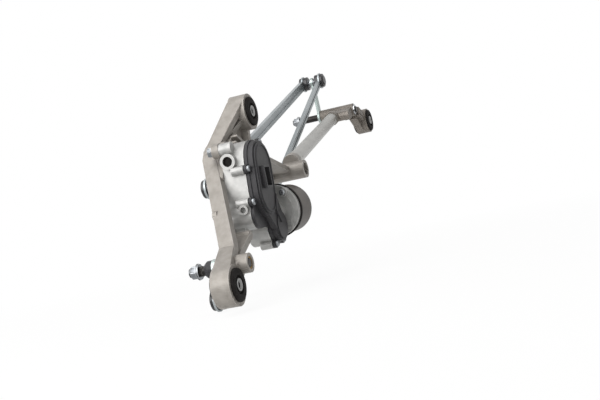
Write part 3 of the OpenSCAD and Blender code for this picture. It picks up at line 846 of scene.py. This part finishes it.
@dataclass
class GearMotor:
    """The gear motor: housing, cover, can, screws and what turns inside.

    Oval, drum, plug and shank sizes are radii, and places are in mm.
    """

    shop: Workshop
    body: str = "frame"
    housing_round_mm: float = 0.7
    cover_round_mm: float = 0.7
    can_round_mm: float = 0.8
    oval_low: Point = (124.0, 84.0)
    oval_high: Point = (128.0, 116.0)
    oval_mm: float = 24.0
    drum: Point = (150.0, 46.0)
    drum_mm: float = 15.3
    face_mm: float = -3.0
    rim_mm: float = 5.0
    face_step_mm: float = 1.0
    lip_inset_mm: float = 3.2
    lip_wide_mm: float = 2.2
    lip_high_mm: float = 1.0
    flange_mm: float = 172.0
    arc_from_deg: float = -34.0
    arc_sweep_deg: float = 96.0
    arc_steps: int = 28
    pad_turn_deg: float = -50.0
    port: Place = (93.0, 25.0, 124.0)
    plug_mm: float = 5.4
    bolt_flats_mm: float = 10.0
    bolt_head_mm: float = 6.0
    bolt_shank_mm: float = 3.0

    def build(self) -> None:
        """Builds every piece of the motor."""
        self.shop.rounded("gear_housing", self.body, BRIGHT_CASTING, self.housing_round_mm)
        self.shop.rounded("gear_cover", self.body, BLACK_NYLON, self.cover_round_mm)
        self.shop.rounded("motor_can", self.body, CAN_STEEL, self.can_round_mm)
        for node, finish in (
            ("cover_seal", RUBBER), ("circuit_board", LAMINATE), ("contact_pins", CONTACT),
            ("output_bush", BRONZE), ("magnets", FERRITE), ("motor_shaft", GROUND_STEEL),
            ("armature", PRESSED_SHEET), ("commutator", CONTACT),
        ):
            self.shop.plain(node, finish)
        self.cover_face()
        self.gasket()
        self.flange_relief()
        self.port_plug()
        self.screws("cover_screws", -SHAFT_AXIS)
        self.screws("can_screws", -CAN_AXIS)
        self.flange_bolts()

    def cover_face(self) -> None:
        """Adds the bridge between the cover's two lobes and the lip round the upper one."""
        step = self.face_step_mm
        work = bmesh.new()
        prism(
            work, tapered_bar(self.oval_low, self.oval_mm - step, self.drum, self.drum_mm - step),
            self.face_mm + step, self.rim_mm,
        )
        self.shop.add("cover_bridge", work, self.body, BLACK_NYLON, self.cover_round_mm)
        work = bmesh.new()
        lip = self.oval_mm - self.lip_inset_mm
        path = tapered_bar(self.oval_low, lip, self.oval_high, lip)
        bead(work, path, self.face_mm, self.lip_wide_mm, self.lip_high_mm)
        self.shop.add("cover_lip", work, self.body, BLACK_NYLON)

    def can_axis(self) -> tuple[Vector, float]:
        """Measures the can.

        Returns:
            The middle of its open end and its radius.
        """
        low, high, middle = node_box("motor_can")
        radius = (high.y - low.y) / 2
        return Vector((low.x, middle.y, low.z + radius)), radius

    def gasket(self) -> None:
        """Adds the rubber rim between the can and its flange."""
        place, radius = self.can_axis()
        proud, deep, soft, gap = 3.0 * MM, 4.2 * MM, 0.7 * MM, 0.05 * MM
        outer, inner = radius + proud, radius + gap
        work = bmesh.new()
        lathe(work, [
            (0.0, inner), (0.0, outer - soft), (soft, outer),
            (deep - soft, outer), (deep, outer - soft), (deep, inner),
        ], place, CAN_AXIS, steps=96, open_bore=True)
        self.shop.add("can_gasket", work, self.body, RUBBER)

    def flange_relief(self) -> None:
        """Adds the cast arc and the framed pad on the flange's front."""
        place, radius = self.can_axis()
        middle = Vector((self.flange_mm * MM, place.y, place.z))
        work = bmesh.new()
        arc_r, pad_r = radius * 0.8, radius * 0.82
        half_w, crest, rise, foot = 1.2 * MM, 0.72 * MM, 1.1 * MM, 0.3 * MM
        sides = ((-half_w, foot), (-crest, -rise), (crest, -rise), (half_w, foot))
        loops = []
        for step in range(self.arc_steps + 1):
            turn = math.radians(self.arc_from_deg + self.arc_sweep_deg * step / self.arc_steps)
            out = Vector((0.0, -math.cos(turn), math.sin(turn)))
            loops.append([middle + out * (arc_r + wide) + CAN_AXIS * lift for wide, lift in sides])
        skin(work, loops)
        turn = math.radians(self.pad_turn_deg)
        centre = middle + Vector((0.0, -math.cos(turn), math.sin(turn))) * pad_r
        # Half width and height of the pad's frame, from its foot over the rim to its sunk middle
        rings = ((4.6, foot), (4.2, -rise), (2.8, -rise), (2.5, -rise * 0.2))
        corners = ((-1, -1), (1, -1), (1, 1), (-1, 1))
        skin(work, [
            [centre + Vector((lift, wide * MM * y, wide * MM * z)) for y, z in corners]
            for wide, lift in rings
        ])
        self.shop.add("flange_relief", work, self.body, BRIGHT_CASTING)

    def port_plug(self) -> None:
        """Adds the dark plug that closes the cable port."""
        bore = self.plug_mm * MM
        back, mouth, dish = 6.8 * MM, 0.8 * MM, 2.8 * MM
        work = bmesh.new()
        lathe(
            work, [(back, bore), (mouth, bore), (mouth, bore * 0.82), (dish, bore * 0.7)],
            Vector(self.port) * MM, CAN_AXIS,
        )
        self.shop.add("port_plug", work, self.body, RUBBER)

    def screws(self, node: str, out: Vector) -> None:
        """Replaces plain screws by pan heads with a six-lobe recess.

        Args:
            node: The node that holds the screws.
            out: Direction in which the heads face.
        """
        work = bmesh.new()
        along = 1 if abs(out.y) > 0.5 else 0
        for low, high in solids(node):
            middle = (low + high) / 2
            head_r = (high[2] - low[2]) / 2
            length = high[along] - low[along]
            place = middle - out * (length / 2)
            shank = head_r * 0.54
            seat = length - head_r * 0.62
            recess = 1.5 * MM
            # Height and radius, from the tip over the head to the recess's floor
            lathe(work, [
                (0.0, shank * 0.8), (0.4 * MM, shank), (seat, shank), (seat, head_r),
                (length - 1.1 * MM, head_r), (length - 0.35 * MM, head_r * 0.9), (length, head_r * 0.72),
                (length, lobe_radius(head_r * 0.42, head_r * 0.07)),
                (length - recess, lobe_radius(head_r * 0.4, head_r * 0.06)),
            ], place, out)
        piece = self.shop.add(f"{node}_dressed", work, self.body, ZINC_STEEL)
        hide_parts(node)

    def flange_bolts(self) -> None:
        """Replaces the motor's bolts by flanged hex heads."""
        work = bmesh.new()
        flats, shank = self.bolt_flats_mm * MM, self.bolt_shank_mm * MM
        hexagon = hex_radius(flats, flats * 0.58)
        for low, high in solids("motor_screws"):
            middle = (low + high) / 2
            flange_r = (high[2] - low[2]) / 2
            length = high[1] - low[1]
            place = Vector((middle.x, low.y, middle.z))
            seat = length - self.bolt_head_mm * MM
            # Height and radius, from the tip over the flange to the head's dished end
            lathe(work, [
                (0.0, 2.3 * MM), (0.8 * MM, shank), (seat, shank),
                (seat, flange_r), (seat + 0.7 * MM, flange_r),
                (seat + 1.6 * MM, hexagon), (length - 0.8 * MM, hexagon),
                (length, hex_radius(flats, flats * 0.5)), (length, flats * 0.36),
                (length - 0.5 * MM, flats * 0.3),
            ], place, SHAFT_AXIS, steps=72)
        piece = self.shop.add("motor_screws_dressed", work, self.body, ZINC_STEEL)
        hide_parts("motor_screws")


@dataclass
class CrankSet:
    """The crank with its studs, and the output shaft and wheel that turn it."""

    shop: Workshop
    body: str = "crank"
    round_mm: float = 0.6
    nut_flats_mm: float = 14.0

    def build(self) -> None:
        """Builds the crank's pieces."""
        self.shop.rounded("crank", self.body, ZINC_LEVER, self.round_mm)
        self.shop.plain("crank_ball_studs", ZINC_STEEL)
        self.shop.plain("output_shaft", GROUND_STEEL)
        self.shop.plain("worm_wheel", ACETAL)
        flange_nut(self.shop, "crank_nut", self.body, self.nut_flats_mm * MM)


@dataclass
class WiperShaft:
    """One wiper shaft with its lever, stud, nut and washer."""

    shop: Workshop
    side: str
    lever_round_mm: float = 0.6
    thread_pitch_mm: float = 1.25
    thread_turns: int = 2
    thread_root_mm: float = 3.9
    thread_crest_mm: float = 4.6
    tip_bare_mm: float = 0.3
    nut_flats_mm: float = 13.0
    spline_teeth: int = 24
    spline_depth_mm: float = 0.22
    spline_back_mm: float = 15.6
    spline_long_mm: float = 3.2
    spline_ends_mm: Point = (5.25, 4.85)

    def build(self) -> None:
        """Builds the shaft and what is fixed to it."""
        body = f"{self.side}_shaft"
        self.shop.plain(body, BLACK_STEEL)
        self.shop.rounded(f"{self.side}_lever", body, ZINC_LEVER, self.lever_round_mm)
        self.shop.plain(f"{self.side}_ball_stud", ZINC_STEEL)
        self.shop.plain(f"{self.side}_washer", ZINC_STEEL)
        flange_nut(self.shop, f"{self.side}_nut", body, self.nut_flats_mm * MM)
        self.thread(body)
        self.spline(body)

    def tip(self) -> Vector:
        """Gives the middle of the shaft's tip face."""
        _, high, middle = node_box(f"{self.side}_shaft")
        return Vector((middle.x, high.y, middle.z))

    def thread(self, body: str) -> None:
        """Adds the thread that shows beyond the nut.

        Args:
            body: The body that carries the shaft.
        """
        pitch = self.thread_pitch_mm * MM
        work = bmesh.new()
        root, crest = self.thread_root_mm * MM, self.thread_crest_mm * MM
        rings: list[Ring] = [(0.0, root)]
        for turn in range(self.thread_turns):
            start = turn * pitch
            rings += [
                (start + 0.12 * pitch, root), (start + 0.45 * pitch, crest),
                (start + 0.6 * pitch, crest), (start + 0.95 * pitch, root),
            ]
        back = self.thread_turns * pitch + self.tip_bare_mm * MM
        lathe(work, rings, self.tip() - SHAFT_AXIS * back, SHAFT_AXIS)
        self.shop.add(f"{self.side}_tip_thread", work, body, ZINC_STEEL)

    def spline(self, body: str) -> None:
        """Adds the serrated cone that the wiper arm grips.

        Args:
            body: The body that carries the shaft.
        """
        depth = self.spline_depth_mm * MM
        wide, slim = (lobe_radius(radius * MM, depth, self.spline_teeth) for radius in self.spline_ends_mm)
        place = self.tip() - SHAFT_AXIS * self.spline_back_mm * MM
        work = bmesh.new()
        lathe(work, [(0.0, wide), (self.spline_long_mm * MM, slim)], place, SHAFT_AXIS, steps=144)
        self.shop.add(f"{self.side}_arm_spline", work, body, BLACK_STEEL)


def flange_nut(shop: Workshop, node: str, body: str, flats: float) -> None:
    """Replaces a plain nut by a flange nut with chamfered corners and an open thread.

    Args:
        shop: Makes and dresses the piece.
        node: The nut's node.
        body: The body that carries it.
        flats: Width across its flats.
    """
    low, high, middle = node_box(node)
    flange_r = (high.z - low.z) / 2
    height = high.y - low.y
    bore = flats * 0.38
    hexagon = hex_radius(flats, flats * 0.575)
    work = bmesh.new()
    # Height and radius, from the lower mouth over flange and flats to the upper mouth
    rings: list[Ring] = [
        (0.6 * MM, bore), (0.0, bore * 1.08), (0.0, flange_r - 0.4 * MM),
        (0.4 * MM, flange_r), (1.1 * MM, flange_r),
        (2.0 * MM, hexagon), (height - 1.0 * MM, hexagon),
        (height - 0.15 * MM, hex_radius(flats, flats * 0.49)), (height, flats * 0.47),
        (height, bore * 1.12), (height - 0.9 * MM, bore),
    ]
    lathe(work, rings, Vector((middle.x, low.y, middle.z)), SHAFT_AXIS, steps=72)
    piece = shop.add(f"{node}_dressed", work, body, ZINC_STEEL)
    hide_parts(node)


@dataclass
class RodSet:
    """The three pressed rods and their moulded ball sockets."""

    shop: Workshop
    rods: tuple[str, ...] = ("drive_rod", "second_rod", "near_rod")
    rod_round_mm: float = 0.4
    socket_round_mm: float = 0.8

    def build(self) -> None:
        """Builds each rod with its sockets."""
        for rod in self.rods:
            self.shop.rounded(rod, rod, PRESSED_SHEET, self.rod_round_mm)
            self.shop.rounded(f"{rod}_sockets", rod, SOCKET_ACETAL, self.socket_round_mm)


@dataclass(frozen=True)
class Lamp:
    """One square soft light that faces the object.

    Args:
        name: The lamp's name.
        place: Where it hangs.
        size: Side of its square.
        power: Watts.
    """

    name: str
    place: Place
    size: float
    power: float


@dataclass
class Studio:
    """The floor, light and camera round the object, in metres."""

    forward: Place = (0.95, 0.31, 0.0)
    right: Place = (0.30, -0.93, -0.20)
    aim_right: float = -0.058
    aim_up: float = -0.082
    aim_depth: float = 1.0
    focal_px: float = 1030.0
    image_px: tuple[int, int] = (600, 400)
    sensor_mm: float = 36.0
    ambient: float = 0.14
    floor_colour: str = "#f4f4f2"
    floor_rough: float = 0.9
    floor_glow: float = 0.94
    floor_half: float = 12.0
    floor_drop: float = 0.001
    fade_from: float = 0.3
    fade_to: float = 1.2
    target: Place = (0.2, 0.0, 0.08)
    lamps: tuple[Lamp, ...] = (
        Lamp("key_light", (-1.4, 0.6, 0.9), 1.4, 26.0),
        Lamp("fill_light", (-1.3, -0.9, 0.25), 1.0, 3.0),
        Lamp("top_light", (-0.35, 0.2, 1.5), 1.0, 12.0),
        Lamp("back_light", (0.9, 1.4, 0.6), 1.2, 6.0),
    )

    def build(self, low: Vector) -> None:
        """Sets the stage.

        Args:
            low: Lowest corner of the object.
        """
        self.world()
        self.floor(low.z)
        self.camera()
        for lamp in self.lamps:
            self.hang(lamp)

    def camera(self) -> None:
        """Places the camera so that the near fixing falls where it should in the picture."""
        ahead = Vector(self.forward).normalized()
        side = Vector(self.right)
        right = (side - ahead * side.dot(ahead)).normalized()
        up = right.cross(ahead)
        data = bpy.data.cameras.new("camera")
        data.sensor_width = self.sensor_mm
        data.lens = self.focal_px * self.sensor_mm / self.image_px[0]
        data.clip_start, data.clip_end = 0.05, 60.0
        eye = -(right * self.aim_right + up * self.aim_up + ahead * self.aim_depth)
        camera = bpy.data.objects.new("camera", data)
        camera.matrix_world = Matrix.Translation(eye) @ Matrix((right, up, -ahead)).transposed().to_4x4()
        bpy.context.scene.collection.objects.link(camera)
        bpy.context.scene.camera = camera

    def hang(self, lamp: Lamp) -> None:
        """Hangs a lamp and turns it to the object.

        Args:
            lamp: The lamp.
        """
        data = bpy.data.lights.new(lamp.name, "AREA")
        data.size = lamp.size
        data.energy = lamp.power
        light = bpy.data.objects.new(lamp.name, data)
        light.location = lamp.place
        ray = Vector(self.target) - Vector(lamp.place)
        light.rotation_euler = ray.to_track_quat("-Z", "Y").to_euler()
        bpy.context.scene.collection.objects.link(light)

    def plainly_seen(self, tree: bpy.types.NodeTree) -> bpy.types.NodeSocket:
        """Tells rays that see the background from those that only carry its light.

        Args:
            tree: The node tree that asks.

        Returns:
            A socket that is 1 for camera, glossy and transmission rays.
        """
        path = add_node(tree, "ShaderNodeLightPath")
        seen = path.outputs["Is Camera Ray"]
        for kind in ("Is Glossy Ray", "Is Transmission Ray"):
            either = add_node(
                tree, "ShaderNodeMath", operation="MAXIMUM", links={0: seen, 1: path.outputs[kind]}
            )
            seen = either.outputs[0]
        return seen

    def world(self) -> None:
        """Makes the world white to the eye and softer as a light."""
        world = bpy.data.worlds.new("studio_white")
        bpy.context.scene.world = world
        world.use_nodes = True
        tree = world.node_tree
        tree.nodes.clear()
        level = add_node(
            tree, "ShaderNodeMapRange", inputs={"To Min": self.ambient, "To Max": 1.0},
            links={"Value": self.plainly_seen(tree)},
        )
        back = add_node(
            tree, "ShaderNodeBackground", inputs={"Color": (1.0, 1.0, 1.0, 1.0)},
            links={"Strength": level.outputs["Result"]},
        )
        add_node(tree, "ShaderNodeOutputWorld", links={"Surface": back.outputs["Background"]})

    def floor(self, level: float) -> None:
        """Lays a pale floor that keeps a soft shadow.

        Args:
            level: Height of the object's lowest point.
        """
        half, height = self.floor_half, level - self.floor_drop
        mesh = bpy.data.meshes.new("floor")
        corners = [(-half, -half), (half, -half), (half, half), (-half, half)]
        mesh.from_pydata([(x, y, height) for x, y in corners], [], [(0, 1, 2, 3)])
        floor = bpy.data.objects.new("floor", mesh)
        bpy.context.scene.collection.objects.link(floor)
        material = bpy.data.materials.new("pale_paper_sweep")
        material.use_nodes = True
        tree = material.node_tree
        shader = next(item for item in tree.nodes if item.type == "BSDF_PRINCIPLED")
        shader.inputs["Base Color"].default_value = linear(self.floor_colour)
        shader.inputs["Roughness"].default_value = self.floor_rough
        place = add_node(tree, "ShaderNodeTexCoord").outputs["Object"]
        away = add_node(tree, "ShaderNodeVectorMath", operation="LENGTH", links={0: place})
        fade = add_node(
            tree, "ShaderNodeMapRange",
            inputs={
                "From Min": self.fade_from, "From Max": self.fade_to,
                "To Min": self.floor_glow, "To Max": 1.0,
            },
            links={"Value": away.outputs["Value"]},
        )
        share = add_node(
            tree, "ShaderNodeMath", operation="MULTIPLY",
            links={0: fade.outputs["Result"], 1: self.plainly_seen(tree)},
        )
        glow = add_node(tree, "ShaderNodeEmission", inputs={"Strength": 1.0})
        mixed = add_node(
            tree, "ShaderNodeMixShader",
            links={0: share.outputs[0], 1: shader.outputs["BSDF"], 2: glow.outputs["Emission"]},
        )
        output = next(item for item in tree.nodes if item.type == "OUTPUT_MATERIAL")
        tree.links.new(mixed.outputs["Shader"], output.inputs["Surface"])
        mesh.materials.append(material)
        floor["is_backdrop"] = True


def main() -> None:
    """Builds the sub-assemblies in order, then the studio on the object's measured lowest point."""
    logging.basicConfig(level=logging.INFO)
    cad_low, cad_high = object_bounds()
    bpy.context.scene.view_settings.view_transform = "Standard"
    shop = Workshop()
    CastFrame(shop).build()
    GearMotor(shop).build()
    CrankSet(shop).build()
    for side in ("far", "near"):
        WiperShaft(shop, side).build()
    shop.plain("far_ring", GROUND_STEEL)
    shop.rounded("near_cap", "near_shaft", BLACK_NYLON, CAP_ROUND_MM)
    RodSet(shop).build()
    Studio().build(cad_low)


if __name__ == "__main__":
    main()
